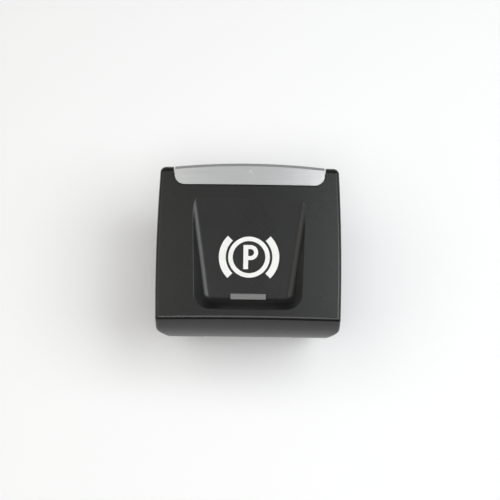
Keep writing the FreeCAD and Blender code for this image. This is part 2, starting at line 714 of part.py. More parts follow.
def base_cover():
    """Tub that closes the housing from below, with the socket for the wiring plug."""
    half, front, rear = INNER_HALF - COVER_GAP, INNER_FRONT_Y + COVER_GAP, INNER_REAR_Y - COVER_GAP
    tub = slab(-half, half, front, rear, 0, BOARD_Z, COVER_CORNER)
    flange_half, flange_front, flange_rear = COVER_FLANGE
    flange = slab(-flange_half, flange_half, flange_front, flange_rear, HOUSING_FOOT_Z - COVER_FLANGE_THICK,
                  HOUSING_FOOT_Z, HOUSING_CORNER)
    cavity = box(-half + COVER_WALL, half - COVER_WALL, front + COVER_WALL, rear - COVER_WALL,
                 COVER_FLOOR, FAR)
    shroud_half = SOCKET_HALF + SOCKET_WALL
    shroud = box(-shroud_half, shroud_half, SOCKET_FRONT_Y - SOCKET_WALL, SOCKET_REAR_Y + SOCKET_WALL, 0,
                 SOCKET_ROOF_Z + SOCKET_ROOF_THICK)
    boss = both_sides(post(BOSS_RADIUS, *BOSS, 0, BOARD_Z))
    peg = both_sides(post(BOSS_PEG_RADIUS, *BOSS, BOARD_Z - SPARE, BOARD_TOP_Z))
    socket = slab(-SOCKET_HALF, SOCKET_HALF, SOCKET_FRONT_Y, SOCKET_REAR_Y, -SPARE, SOCKET_ROOF_Z,
                  SOCKET_CORNER)
    key = box(-KEY_HALF_WIDTH, KEY_HALF_WIDTH, SOCKET_FRONT_Y - KEY_DEPTH, SOCKET_Y, -SPARE, KEY_TOP_Z)
    shape = tub.fuse(flange).cut(cavity)
    for y in HOOK_YS:
        shape = shape.cut(both_sides(hook_slits(y))).fuse(both_sides(hook(y)))
    shape = shape.fuse([shroud, boss, peg]).cut(socket.fuse(key))
    for x, y in pin_places():
        shape = shape.cut(pillar(x, y, PIN_SIZE, SOCKET_ROOF_Z - SPARE, BOARD_Z))
    return shape.removeSplitter()


# Electronics

def board_outline(z0, z1):
    """Block with the outline that the board and the mat share."""
    half = INNER_HALF - BOARD_GAP
    return slab(-half, half, INNER_FRONT_Y + BOARD_GAP, INNER_REAR_Y - BOARD_GAP, z0, z1, BOARD_CORNER)


def circuit_board():
    board = board_outline(BOARD_Z, BOARD_TOP_Z)
    board = board.cut(both_sides(post(BOSS_PEG_RADIUS, *BOSS, 0, FAR)))
    for x, y in pin_places():
        board = board.cut(pillar(x, y, PIN_SIZE, 0, FAR))
    return board


def terminal_pin(x, y):
    """Square contact pin, from the socket up through the board."""
    pin = pillar(x, y, PIN_SIZE, PIN_TIP_Z, BOARD_TOP_Z + PIN_TAIL)
    tip = edges_where(pin, lambda p: p.z < PIN_TIP_Z + TINY)
    return pin.makeChamfer(PIN_TIP_CHAMFER, tip)


def light_emitter(x, y):
    """Lamp chip with its small clear dome."""
    length, width, height = LED_SIZE
    top = BOARD_TOP_Z + height
    body = box(x - length / 2, x + length / 2, y - width / 2, y + width / 2, BOARD_TOP_Z, top)
    window = post(LED_LENS_RADIUS, x, y, BOARD_TOP_Z, top + LED_LENS_HEIGHT)
    rim = edges_where(window, lambda p: p.z > top)
    return body.fuse(window.makeChamfer(LED_LENS_HEIGHT / 2, rim))


def resistor(x):
    length, width, height = CHIP_SIZE
    return box(x - length / 2, x + length / 2, CHIP_Y - width / 2, CHIP_Y + width / 2, BOARD_TOP_Z,
               BOARD_TOP_Z + height)


def contact_mat():
    """Silicone sheet with a hollow dome under each plunger."""
    mat = board_outline(BOARD_TOP_Z, MAT_TOP_Z)
    mat = mat.cut(box(-MAT_WINDOW_HALF, MAT_WINDOW_HALF, MAT_WINDOW_FRONT_Y, MAT_WINDOW_REAR_Y, 0, FAR))
    for y in PLUNGERS.values():
        place = V(PLUNGER_X, y, 0)
        dome = Part.makeCone(DOME_FOOT, DOME_HEAD, DOME_HEIGHT, place + V(0, 0, MAT_TOP_Z))
        hollow = Part.makeCone(DOME_FOOT, DOME_HEAD - DOME_WEB, DOME_CEILING_Z - BOARD_TOP_Z,
                               place + V(0, 0, BOARD_TOP_Z))
        mat = mat.fuse(both_sides(dome)).cut(both_sides(hollow))
    return mat


def contact_pill(x, y):
    """Carbon disc under a dome's roof, which closes the contact on the board."""
    return post(PILL_RADIUS, x, y, DOME_CEILING_Z - PILL_THICK, DOME_CEILING_Z)


def plunger(x, y):
    """Round plunger that hangs in the guide by its flange and stands on a dome."""
    stem = post(PLUNGER_RADIUS, x, y, DOME_TOP_Z, PLUNGER_TOP_Z)
    stem = stem.makeChamfer(NUB_CHAMFER, edges_where(stem, lambda p: p.z > PLUNGER_TOP_Z - TINY))
    return stem.fuse(post(PLUNGER_FLANGE, x, y, DOME_TOP_Z, DOME_TOP_Z + PLUNGER_FLANGE_THICK))


def plunger_guide():
    """Plate that guides the plungers; its skirt clamps the mat on the board."""
    half, front, rear = INNER_HALF - COVER_GAP, INNER_FRONT_Y + COVER_GAP, INNER_REAR_Y - COVER_GAP
    shape = slab(-half, half, front, rear, MAT_TOP_Z, GUIDE_TOP_Z, COVER_CORNER)
    inside = box(-half + GUIDE_SKIRT, half - GUIDE_SKIRT, front + GUIDE_SKIRT, rear - GUIDE_SKIRT, 0, GUIDE_Z)
    window = box(-GUIDE_WINDOW_HALF, GUIDE_WINDOW_HALF, GUIDE_WINDOW_FRONT_Y, GUIDE_WINDOW_REAR_Y, 0, FAR)
    notch = box(-FAR, FAR, LATCH_Y - LATCH_HALF_WIDTH - LATCH_SLIT, LATCH_Y + LATCH_HALF_WIDTH + LATCH_SLIT,
                0, GUIDE_NOTCH_TOP_Z)
    shape = shape.cut(inside.fuse([window, notch]))
    for y in PLUNGERS.values():
        shape = shape.cut(both_sides(post(PLUNGER_RADIUS + PLUNGER_PLAY, PLUNGER_X, y, 0, FAR)))
    return shape


def light_guide():
    """Clear moulding that leads the light up to the symbol and to the indicator lens."""
    foot_z = BOARD_TOP_Z + LED_SIZE[2] + LIGHT_GAP
    flange = slab(-LIGHT_FLANGE_HALF, LIGHT_FLANGE_HALF, LIGHT_FLANGE_FRONT_Y, LIGHT_FLANGE_REAR_Y,
                  GUIDE_TOP_Z, GUIDE_TOP_Z + LIGHT_FLANGE_THICK, COVER_CORNER)
    ends = [plan_rectangle(SYMBOL_COLUMN_FOOT, foot_z), plan_rectangle(SYMBOL_COLUMN, GUIDE_TOP_Z)]
    funnel = Part.makeLoft(ends, True, True)
    column = box(*SYMBOL_COLUMN, GUIDE_TOP_Z, SYMBOL_COLUMN_TOP_Z)
    bar = box(*INDICATOR_COLUMN, foot_z, INDICATOR_COLUMN_TOP_Z)
    return flange.fuse([funnel, column, bar]).removeSplitter()


def pieces():
    """Every piece of the switch by name."""
    made = {
        "housing": housing(),
        "base_cover": base_cover(),
        "circuit_board": circuit_board(),
        "contact_mat": contact_mat(),
        "plunger_guide": plunger_guide(),
        "light_guide": light_guide(),
        "indicator_led": light_emitter(*INDICATOR_LED),
        "rocker_cap": rocker_cap(),
        "trim_bar": trim_bar(),
        "indicator_lens": indicator_lens(),
        "symbol_diffuser": symbol_diffuser(),
        "rocker_carrier": rocker_carrier(),
    }
    for number, (x, y) in enumerate(pin_places(), 1):
        made[f"terminal_pin_{number}"] = terminal_pin(x, y)
    for number, x in enumerate(CHIP_XS, 1):
        made[f"resistor_{number}"] = resistor(x)
    for side, sign in SIDES.items():
        made[f"symbol_led_{side}"] = light_emitter(sign * SYMBOL_LED[0], SYMBOL_LED[1])
        for duty, y in PLUNGERS.items():
            made[f"{duty}_plunger_{side}"] = plunger(sign * PLUNGER_X, y)
            made[f"{duty}_contact_{side}"] = contact_pill(sign * PLUNGER_X, y)
    return made


def export(name, shape):
    """Check that a piece is one sound solid and write it."""
    if shape.ShapeType != "Solid" and len(shape.Solids) == 1:
        shape = shape.Solids[0]
    sound = shape.isValid() and len(shape.Solids) == 1
    print(f"{name}: {shape.Volume:.2f} mm3, {len(shape.Faces)} faces" + ("" if sound else ", NOT SOUND"))
    shape.exportStep(f"parts/{name}.step")


os.makedirs("parts", exist_ok=True)
for piece_name, piece in pieces().items():
    export(piece_name, piece)
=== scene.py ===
import json
import math
import bpy
from mathutils import Matrix, Vector


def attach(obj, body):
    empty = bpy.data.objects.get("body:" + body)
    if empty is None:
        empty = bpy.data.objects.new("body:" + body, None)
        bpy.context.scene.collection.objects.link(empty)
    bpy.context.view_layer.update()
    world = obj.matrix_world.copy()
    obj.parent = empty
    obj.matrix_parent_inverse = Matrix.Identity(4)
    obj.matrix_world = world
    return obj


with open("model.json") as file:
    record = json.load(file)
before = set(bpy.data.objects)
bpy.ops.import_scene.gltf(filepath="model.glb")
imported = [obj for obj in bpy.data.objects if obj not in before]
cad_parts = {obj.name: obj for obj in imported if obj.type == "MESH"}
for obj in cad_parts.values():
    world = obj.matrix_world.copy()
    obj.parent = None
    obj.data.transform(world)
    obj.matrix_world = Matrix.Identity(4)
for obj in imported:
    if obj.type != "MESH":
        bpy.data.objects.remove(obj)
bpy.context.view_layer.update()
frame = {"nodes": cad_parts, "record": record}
nodes = frame["nodes"]

MM = 0.001

# Recess floor of the cap: it starts flush at START_Y and falls towards the front, crowned like the top
TOP_Z = 25.0 * MM
START_Y = 9.85 * MM
SLOPE = math.radians(6.7)
CROWN_RADIUS = 600.0 * MM

# Parking brake sign printed on the recess floor
SIGN_X = 0.07 * MM
SIGN_Y = -2.52 * MM
RING_OUTER = 4.28 * MM
RING_INNER = 3.35 * MM
ARC_OUTER = 6.20 * MM
ARC_INNER = 4.79 * MM
ARC_HALF_ANGLE = math.radians(45)
LETTER_WIDTH = 3.03 * MM
LETTER_HEIGHT = 5.04 * MM
LETTER_STROKE = 0.99 * MM
LETTER_SHIFT = 0.35 * MM
BOWL_HEIGHT = 3.14 * MM
BOWL_STROKE = 0.86 * LETTER_STROKE
PRINT_PROUD = 0.02 * MM
PRINT_SUNK = 0.03 * MM
RING_STEPS = 96
ARC_STEPS = 28
BOWL_STEPS = 20

# Wear: scuffs along the cap's upper side edges, fewer on the right, and one nick in the trim.
# Each pair is the place where the wear starts and the place where it is full.
LEFT_SCUFFS_X = (-18.1 * MM, -18.6 * MM)
RIGHT_SCUFFS_X = (18.3 * MM, 18.8 * MM)
SCUFFS_Z = (23.4 * MM, 24.2 * MM)
RIGHT_SHARE = 0.35
NICK_PLACE = (0.2 * MM, 15.7 * MM, 25.0 * MM)
NICK_DISTANCE = (0.42 * MM, 0.05 * MM)
NICK_SHARE = 0.55
WORN_ROUGHNESS = 0.2

# Painted shade: the trim is darker where it turns rearward, in place of the dark room that this face would
# reflect; the pair is the rearward part of its direction, from start to full
REAR_SHADE_TURN = (0.25, 0.6)

# Colours in linear light, a pair being the darker and the lighter shade of an uneven colour
CAP_SHADES = ((0.0056, 0.0058, 0.0056), (0.0085, 0.0087, 0.0084))
CAP_DUST = (0.06, 0.06, 0.058)
CAP_SCUFF = (0.14, 0.13, 0.12)
TRIM_SHADES = ((0.68, 0.685, 0.69), (0.82, 0.825, 0.83))
TRIM_NICK = (0.9, 0.9, 0.88)
# Painted shade for the trim's rearward-turning face, standing in for the dark room it reflects
TRIM_REAR_SHADE = (0.24, 0.245, 0.25)
SIGN_SHADES = ((0.77, 0.77, 0.745), (0.86, 0.86, 0.835))
LENS_SHADES = ((0.137, 0.139, 0.135), (0.178, 0.181, 0.176))
CLEAR_SHADES = ((0.90, 0.93, 0.94), (0.96, 0.98, 0.98))
BOARD_SHADES = ((0.012, 0.10, 0.035), (0.03, 0.17, 0.06))
TIN_SHADES = ((0.62, 0.57, 0.46), (0.84, 0.81, 0.74))

# White table, lifted a little for the eye only
FLOOR_HALF = 1.6
FLOOR_ALBEDO = 0.83
FLOOR_LIFT = 0.12

# Room light, dimmer in front, and the white backdrop that is seen past the table.
# Each pair is where a direction's height or its rearward part starts to count and where it counts fully.
ROOM_LEVEL = 0.16
ROOM_FRONT = 0.05
ROOM_TURN = (-0.8, 0.0)
BACKDROP_WHITE = 0.92
BACKDROP_HEIGHT = (0.14, 0.03)
BACKDROP_TURN = (-0.6, -0.2)

# Round lamps, all at one distance from the switch: where each stands and half its width as the switch sees it,
# in degrees, with its brightness and its colour
LAMP_DISTANCE = 0.38
LAMP_AIM = Vector((0.0, 0.0, 20 * MM))
EVEN_WHITE = (1.0, 1.0, 1.0)
COOL_WHITE = (0.955, 0.98, 1.0)
WARM_WHITE = (1.0, 0.965, 0.89)
CREAM_WHITE = (1.0, 0.985, 0.93)
PALE_GREEN = (0.98, 1.0, 0.99)
SOFTBOXES = (
    dict(name="softbox_right", azimuth=-4, elevation=52, half_angle=22, radiance=3.8, colour=COOL_WHITE),
    dict(name="softbox_left", azimuth=-175, elevation=50, half_angle=28, radiance=1.12, colour=WARM_WHITE),
    dict(name="softbox_front", azimuth=-92, elevation=67, half_angle=16, radiance=3.5, colour=EVEN_WHITE),
    dict(name="softbox_top", azimuth=90, elevation=73, half_angle=14, radiance=0.36, colour=PALE_GREEN),
    dict(name="softbox_top_right", azimuth=41, elevation=63, half_angle=11, radiance=2.5, colour=COOL_WHITE),
    dict(name="softbox_top_left", azimuth=137, elevation=64, half_angle=10, radiance=1.0, colour=CREAM_WHITE),
)

# Camera of the photograph, which is 500 pixels wide
PHOTO_WIDTH = 500
FOCAL_PIXELS = 1467
SENSOR_WIDTH = 36.0
CAMERA_AIM = Vector((0.25, -1.45, 25.0)) * MM
CAMERA_DISTANCE = 300.0 * MM
CAMERA_ELEVATION = math.radians(72.5)
CAMERA_ROLL = math.radians(0.75)
CAMERA_CLIP = 10.0 * MM


# Node helpers

def add(tree, kind, settings=None, **values):
    """New node with its properties and unlinked sockets set; a socket's spaces are written as underscores."""
    node = tree.nodes.new(kind)
    for key, value in (settings or {}).items():
        setattr(node, key, value)
    for key, value in values.items():
        node.inputs[key.replace("_", " ")].default_value = value
    return node


def join(tree, source, target):
    tree.links.new(source, target)


def math_node(tree, operation, *operands, clamp=False):
    """Math node on sockets or plain numbers, as its result socket."""
    node = tree.nodes.new("ShaderNodeMath")
    node.operation = operation
    node.use_clamp = clamp
    for socket, value in zip(node.inputs, operands):
        if isinstance(value, (int, float)):
            socket.default_value = value
        else:
            join(tree, value, socket)
    return node.outputs[0]


def smooth_step(tree, value, low, high, out_low=0.0, out_high=1.0):
    """Soft step of a value from low to high."""
    node = add(tree, "ShaderNodeMapRange", {"interpolation_type": "SMOOTHSTEP"}, From_Min=low, From_Max=high,
               To_Min=out_low, To_Max=out_high)
    join(tree, value, node.inputs["Value"])
    return node.outputs["Result"]


def mix_colour(tree, factor, first, second):
    """Blend of two colours, each a socket or a tuple."""
    node = add(tree, "ShaderNodeMix", {"data_type": "RGBA"})
    join(tree, factor, node.inputs["Factor"])
    first_colour, second_colour = [socket for socket in node.inputs if socket.type == "RGBA"]
    for socket, colour in ((first_colour, first), (second_colour, second)):
        if isinstance(colour, tuple):
            socket.default_value = (*colour, 1.0)
        else:
            join(tree, colour, socket)
    return next(socket for socket in node.outputs if socket.type == "RGBA")


def place(tree):
    """Position on the object at rest, in metres."""
    return tree.nodes.new("ShaderNodeTexCoord").outputs["Object"]


def sight(tree):
    """The eye's own rays, and the rays that metal and clear plastic show it, each 0 or 1."""
    path = tree.nodes.new("ShaderNodeLightPath")
    shown = math_node(tree, "MAXIMUM", path.outputs["Is Glossy Ray"], path.outputs["Is Transmission Ray"])
    return path.outputs["Is Camera Ray"], shown


def shader_group(name, inputs, output):
    """Empty node group with named inputs, as (name, default) pairs, and one output."""
    tree = bpy.data.node_groups.new(name, "ShaderNodeTree")
    for socket, default in inputs:
        made = tree.interface.new_socket(name=socket, in_out="INPUT", socket_type="NodeSocketFloat")
        made.default_value = default
    tree.interface.new_socket(name=output, in_out="OUTPUT", socket_type="NodeSocketFloat")
    return tree, tree.nodes.new("NodeGroupInput"), tree.nodes.new("NodeGroupOutput")


def use(tree, group, **values):
    """The result of a node group placed in a material with its own values."""
    node = tree.nodes.new("ShaderNodeGroup")
    node.node_tree = group
    for key, value in values.items():
        node.inputs[key.replace("_", " ")].default_value = value
    return node.outputs[0]


# Effects that several materials use

def make_grain():
    """Fine eroded grain of a mould: two sizes of noise, as a height from 0 to 1."""
    coarse_size = 0.22
    inputs = [("Scale", 9000.0), ("Coarse Share", 0.35)]
    tree, inside, outside = shader_group("mould_grain", inputs, "Height")
    here = place(tree)
    fine = add(tree, "ShaderNodeTexNoise", Detail=2.0, Roughness=0.6)
    coarse = add(tree, "ShaderNodeTexNoise", Detail=3.0, Roughness=0.5)
    for texture in (fine, coarse):
        join(tree, here, texture.inputs["Vector"])
    join(tree, inside.outputs["Scale"], fine.inputs["Scale"])
    join(tree, math_node(tree, "MULTIPLY", inside.outputs["Scale"], coarse_size), coarse.inputs["Scale"])
    share = inside.outputs["Coarse Share"]
    coarse_part = math_node(tree, "MULTIPLY", coarse.outputs[0], share)
    fine_part = math_node(tree, "MULTIPLY", fine.outputs[0], math_node(tree, "SUBTRACT", 1.0, share))
    join(tree, math_node(tree, "ADD", coarse_part, fine_part), outside.inputs["Height"])
    return tree


def make_handling():
    """Broad soft patches where hands have polished or greased the surface, from 0 to 1."""
    inputs = [("Scale", 90.0), ("Contrast", 1.0)]
    tree, inside, outside = shader_group("handling_patches", inputs, "Mask")
    texture = add(tree, "ShaderNodeTexNoise", Detail=4.0, Roughness=0.55)
    join(tree, place(tree), texture.inputs["Vector"])
    join(tree, inside.outputs["Scale"], texture.inputs["Scale"])
    centred = math_node(tree, "SUBTRACT", texture.outputs[0], 0.5)
    spread = math_node(tree, "MULTIPLY", centred, inside.outputs["Contrast"])
    join(tree, math_node(tree, "ADD", spread, 0.5, clamp=True), outside.inputs["Mask"])
    return tree


def make_specks():
    """Sparse small specks, such as dust or nicks, from 0 to 1."""
    edge_gain = 22.0
    inputs = [("Scale", 700.0), ("Threshold", 0.74)]
    tree, inside, outside = shader_group("sparse_specks", inputs, "Mask")
    texture = add(tree, "ShaderNodeTexNoise", Detail=5.0, Roughness=0.75)
    join(tree, place(tree), texture.inputs["Vector"])
    join(tree, inside.outputs["Scale"], texture.inputs["Scale"])
    over = math_node(tree, "SUBTRACT", texture.outputs[0], inside.outputs["Threshold"])
    join(tree, math_node(tree, "MULTIPLY", over, edge_gain, clamp=True), outside.inputs["Mask"])
    return tree


def make_brushing():
    """Fine streaks along X, as left by brushing before plating, from 0 to 1."""
    inputs = [("Scale", 5200.0), ("Stretch", 0.018)]
    tree, inside, outside = shader_group("brushed_streaks", inputs, "Height")
    stretch = add(tree, "ShaderNodeCombineXYZ", Y=1.0, Z=1.0)
    join(tree, inside.outputs["Stretch"], stretch.inputs["X"])
    squeeze = add(tree, "ShaderNodeVectorMath", {"operation": "MULTIPLY"})
    join(tree, place(tree), squeeze.inputs[0])
    join(tree, stretch.outputs[0], squeeze.inputs[1])
    texture = add(tree, "ShaderNodeTexNoise", Detail=3.0, Roughness=0.6)
    join(tree, squeeze.outputs[0], texture.inputs["Vector"])
    join(tree, inside.outputs["Scale"], texture.inputs["Scale"])
    join(tree, texture.outputs[0], outside.inputs["Height"])
    return tree


grain = make_grain()
handling = make_handling()
specks = make_specks()
brushing = make_brushing()


# Materials

def new_material(name, **values):
    """Material with its Principled shader, whose even values are set on its own sockets."""
    made = bpy.data.materials.new(name)
    made.use_nodes = True
    shader = made.node_tree.nodes["Principled BSDF"]
    for key, value in values.items():
        shader.inputs[key.replace("_", " ")].default_value = value
    return made, made.node_tree, shader


def colour_with(tree, shader, colour):
    join(tree, colour, shader.inputs["Base Color"])


def roughen(tree, shader, mask, rough, spread, worn=None):
    """Roughness that follows a mask from rough to rough + spread, and rises where the surface is worn."""
    level = math_node(tree, "MULTIPLY_ADD", mask, spread, rough)
    if worn is not None:
        level = math_node(tree, "ADD", level, math_node(tree, "MULTIPLY", worn, WORN_ROUGHNESS))
    join(tree, level, shader.inputs["Roughness"])


def bump(tree, shader, height, depth):
    """Surface relief of a height from 0 to 1, depth in metres."""
    node = add(tree, "ShaderNodeBump", Strength=1.0, Distance=depth)
    join(tree, height, node.inputs["Height"])
    join(tree, node.outputs["Normal"], shader.inputs["Normal"])


def moulded(name, shades, rough, rough_spread, grain_scale, grain_depth, **values):
    """Moulded plastic: grain in the surface, patches in colour and gloss, and a little dust."""
    made, tree, shader = new_material(name, **values)
    patches = use(tree, handling, Scale=110.0, Contrast=1.5)
    dust = use(tree, specks, Scale=1500.0, Threshold=0.77)
    dust_colour = tuple(min(1.0, channel * 1.6 + 0.02) for channel in shades[1])
    colour = mix_colour(tree, patches, *shades)
    colour_with(tree, shader, mix_colour(tree, dust, colour, dust_colour))
    roughen(tree, shader, patches, rough, rough_spread)
    bump(tree, shader, use(tree, grain, Scale=grain_scale), grain_depth)
    return made


def cap_black():
    """Soft black of the cap, with scuffs along the upper side edges, more of them on the left."""
    made, tree, shader = new_material("cap_soft_black")
    patches = use(tree, handling, Scale=85.0, Contrast=1.4)
    dust = use(tree, specks, Scale=1300.0, Threshold=0.765)
    nicks = use(tree, specks, Scale=420.0, Threshold=0.63)
    parts = add(tree, "ShaderNodeSeparateXYZ")
    join(tree, place(tree), parts.inputs[0])
    left_edge = smooth_step(tree, parts.outputs["X"], *LEFT_SCUFFS_X)
    right_edge = smooth_step(tree, parts.outputs["X"], *RIGHT_SCUFFS_X, 0.0, RIGHT_SHARE)
    high = smooth_step(tree, parts.outputs["Z"], *SCUFFS_Z)
    edges = math_node(tree, "MULTIPLY", math_node(tree, "MAXIMUM", left_edge, right_edge), high)
    scuffs = math_node(tree, "MULTIPLY", nicks, edges)
    colour = mix_colour(tree, patches, *CAP_SHADES)
    colour = mix_colour(tree, dust, colour, CAP_DUST)
    colour_with(tree, shader, mix_colour(tree, scuffs, colour, CAP_SCUFF))
    roughen(tree, shader, patches, rough=0.25, spread=0.06, worn=scuffs)
    bump(tree, shader, use(tree, grain, Scale=8000.0), 0.006 * MM)
    return made


def trim_silver():
    """Satin silver plating with fine streaks along its length, one small nick, and painted shade where it
    turns rearward, darkened in colour for the dark room it would reflect there.
    """
    made, tree, shader = new_material("trim_satin_silver", Metallic=0.92)
    streaks = use(tree, brushing)
    patches = use(tree, handling, Scale=60.0, Contrast=1.2)
    distance = add(tree, "ShaderNodeVectorMath", {"operation": "DISTANCE"})
    join(tree, place(tree), distance.inputs[0])
    distance.inputs[1].default_value = NICK_PLACE
    nick = smooth_step(tree, distance.outputs["Value"], *NICK_DISTANCE, 0.0, NICK_SHARE)
    facing = add(tree, "ShaderNodeSeparateXYZ")
    join(tree, tree.nodes.new("ShaderNodeTexCoord").outputs["Normal"], facing.inputs[0])
    # Painted shade: the trim's colour darkens where its face turns rearward, standing in for the dark room it
    # would reflect
    rear_shade = smooth_step(tree, facing.outputs["Y"], *REAR_SHADE_TURN)
    colour = mix_colour(tree, streaks, *TRIM_SHADES)
    colour = mix_colour(tree, nick, colour, TRIM_NICK)
    colour_with(tree, shader, mix_colour(tree, rear_shade, colour, TRIM_REAR_SHADE))
    roughen(tree, shader, patches, rough=0.20, spread=0.05, worn=nick)
    bump(tree, shader, streaks, 0.004 * MM)
    return made


def print_white():
    """Warm white of the sign, slightly uneven where the colour was burnt away."""
    made, tree, shader = new_material("sign_white", Roughness=0.5)
    patches = use(tree, handling, Scale=900.0, Contrast=1.6)
    colour_with(tree, shader, mix_colour(tree, patches, *SIGN_SHADES))
    bump(tree, shader, use(tree, grain, Scale=12000.0), 0.003 * MM)
    return made


def lens_grey():
    """Smoked grey of the indicator lens, with faint streaks from moulding."""
    made, tree, shader = new_material("lens_smoked_grey", Roughness=0.38)
    streaks = use(tree, brushing, Scale=2600.0, Stretch=0.05)
    colour_with(tree, shader, mix_colour(tree, streaks, *LENS_SHADES))
    bump(tree, shader, use(tree, grain, Scale=7000.0), 0.003 * MM)
    return made


def clear_guide():
    """Clear moulded plastic of the light guide."""
    made, tree, shader = new_material("clear_moulding", Transmission_Weight=0.85, IOR=1.49)
    patches = use(tree, handling, Scale=300.0, Contrast=1.5)
    colour_with(tree, shader, mix_colour(tree, patches, *CLEAR_SHADES))
    roughen(tree, shader, patches, rough=0.06, spread=0.08)
    return made


def board_green():
    """Green solder resist with the weave of the board showing faintly."""
    made, tree, shader = new_material("board_solder_resist", Coat_Weight=0.4)
    here = place(tree)
    weave = []
    for direction in ("X", "Y"):
        bands = add(tree, "ShaderNodeTexWave", {"bands_direction": direction}, Scale=900.0, Distortion=0.6)
        join(tree, here, bands.inputs["Vector"])
        weave.append(bands.outputs["Fac"])
    relief = math_node(tree, "MULTIPLY", *weave)
    colour_with(tree, shader, mix_colour(tree, relief, *BOARD_SHADES))
    roughen(tree, shader, use(tree, handling, Scale=200.0), rough=0.28, spread=0.15)
    bump(tree, shader, relief, 0.004 * MM)
    return made


def tinned_pin():
    """Tinned brass of the contact pins, with drawing marks and darker spots."""
    made, tree, shader = new_material("tinned_brass", Metallic=1.0)
    patches = use(tree, handling, Scale=1800.0, Contrast=2.0)
    colour_with(tree, shader, mix_colour(tree, patches, *TIN_SHADES))
    roughen(tree, shader, patches, rough=0.22, spread=0.15)
    bump(tree, shader, use(tree, grain, Scale=9000.0), 0.002 * MM)
    return made


def make_finishes():
    """Every finish of the frame, under the name of its slot."""
    return {
        "cap_black": cap_black(),
        "trim_silver": trim_silver(),
        "lens_grey": lens_grey(),
        "light_clear": clear_guide(),
        "board_green": board_green(),
        "pin_brass": tinned_pin(),
        "diffuser_white": moulded(
            "diffuser_milky", shades=((0.74, 0.75, 0.73), (0.84, 0.85, 0.83)), rough=0.35, rough_spread=0.1,
            grain_scale=6000.0, grain_depth=0.003 * MM, Subsurface_Weight=0.2),
        "carrier_black": moulded(
            "carrier_plain_black", shades=((0.014, 0.014, 0.015), (0.024, 0.024, 0.025)), rough=0.42,
            rough_spread=0.12, grain_scale=5000.0, grain_depth=0.006 * MM),
        "housing_black": moulded(
            "housing_plain_black", shades=((0.016, 0.016, 0.016), (0.027, 0.027, 0.027)), rough=0.44,
            rough_spread=0.12, grain_scale=4500.0, grain_depth=0.008 * MM),
        "silicone_grey": moulded(
            "mat_silicone", shades=((0.36, 0.37, 0.38), (0.45, 0.46, 0.47)), rough=0.55, rough_spread=0.12,
            grain_scale=4000.0, grain_depth=0.004 * MM),
        "carbon_black": moulded(
            "contact_carbon", shades=((0.012, 0.012, 0.012), (0.03, 0.03, 0.03)), rough=0.7, rough_spread=0.1,
            grain_scale=9000.0, grain_depth=0.006 * MM),
        "guide_natural": moulded(
            "guide_natural_white", shades=((0.62, 0.61, 0.57), (0.72, 0.71, 0.67)), rough=0.4,
            rough_spread=0.1, grain_scale=5000.0, grain_depth=0.004 * MM),
        "led_white": moulded(
            "lamp_phosphor", shades=((0.78, 0.72, 0.42), (0.86, 0.82, 0.58)), rough=0.3, rough_spread=0.1,
            grain_scale=9000.0, grain_depth=0.002 * MM),
        "chip_dark": moulded(
            "chip_ceramic", shades=((0.02, 0.02, 0.023), (0.035, 0.035, 0.04)), rough=0.3, rough_spread=0.15,
            grain_scale=9000.0, grain_depth=0.003 * MM),
    }


def dress_nodes():
    """Give every piece of the frame its finish."""
    finishes = make_finishes()
    for entry in frame["record"]["subparts"]:
        mesh = nodes[entry["node"]].data
        for index in range(len(mesh.materials)):
            mesh.materials[index] = finishes[entry["material_slot"]]


# Printed sign

def on_floor(x, along, lift):
    """Point of the recess floor, along up its slope from the sign's centre and lift above it."""
    reach = (START_Y - SIGN_Y) / math.cos(SLOPE) - along
    height = lift - x * x / (2 * CROWN_RADIUS)
    return Vector((SIGN_X + x,
                   START_Y - reach * math.cos(SLOPE) - height * math.sin(SLOPE),
                   TOP_Z - reach * math.sin(SLOPE) + height * math.cos(SLOPE)))


def arc_points(radius, start, end, steps, centre=(0.0, 0.0)):
    """Points round a centre, both ends included."""
    angles = [start + (end - start) * i / steps for i in range(steps + 1)]
    return [(centre[0] + radius * math.cos(a), centre[1] + radius * math.sin(a)) for a in angles]


def printed(name, strips, closed=False):
    """Thin raised print from pairs of matching outlines, each pair one band."""
    vertices = []
    faces = []
    for inner, outer in strips:
        base = len(vertices)
        count = len(inner)
        for lift in (-PRINT_SUNK, PRINT_PROUD):
            for outline in (inner, outer):
                vertices += [on_floor(x, y, lift) for x, y in outline]
        low_in, low_out, top_in, top_out = (base + count * i for i in range(4))
        for i in range(count if closed else count - 1):
            j = (i + 1) % count
            faces.append((top_in + i, top_out + i, top_out + j, top_in + j))
            faces.append((low_in + j, low_out + j, low_out + i, low_in + i))
            faces.append((low_in + i, top_in + i, top_in + j, low_in + j))
            faces.append((low_out + j, top_out + j, top_out + i, low_out + i))
        if not closed:
            last = count - 1
            faces.append((low_in, low_out, top_out, top_in))
            faces.append((low_out + last, low_in + last, top_in + last, top_out + last))
    mesh = bpy.data.meshes.new(name)
    mesh.from_pydata(vertices, [], faces)
    mesh.validate()
    piece = bpy.data.objects.new(name, mesh)
    bpy.context.scene.collection.objects.link(piece)
    return piece


def letter_bands():
    """The letter as two bands, the bowl and the stem, each between two outlines with matching points."""
    left = LETTER_SHIFT - LETTER_WIDTH / 2
    stem = left + LETTER_STROKE
    top = LETTER_HEIGHT / 2
    outer_radius = BOWL_HEIGHT / 2
    inner_radius = outer_radius - BOWL_STROKE
    centre = (left + LETTER_WIDTH - outer_radius, top - outer_radius)
    bowl = []
    for radius in (inner_radius, outer_radius):
        bend = arc_points(radius, math.pi / 2, -math.pi / 2, BOWL_STEPS, centre)
        bowl.append([(stem, centre[1] + radius)] + bend + [(stem, centre[1] - radius)])
    stem_left = [(left, -top), (left, top)]
    stem_right = [(stem, -top), (stem, top)]
    return [tuple(bowl), (stem_left, stem_right)]


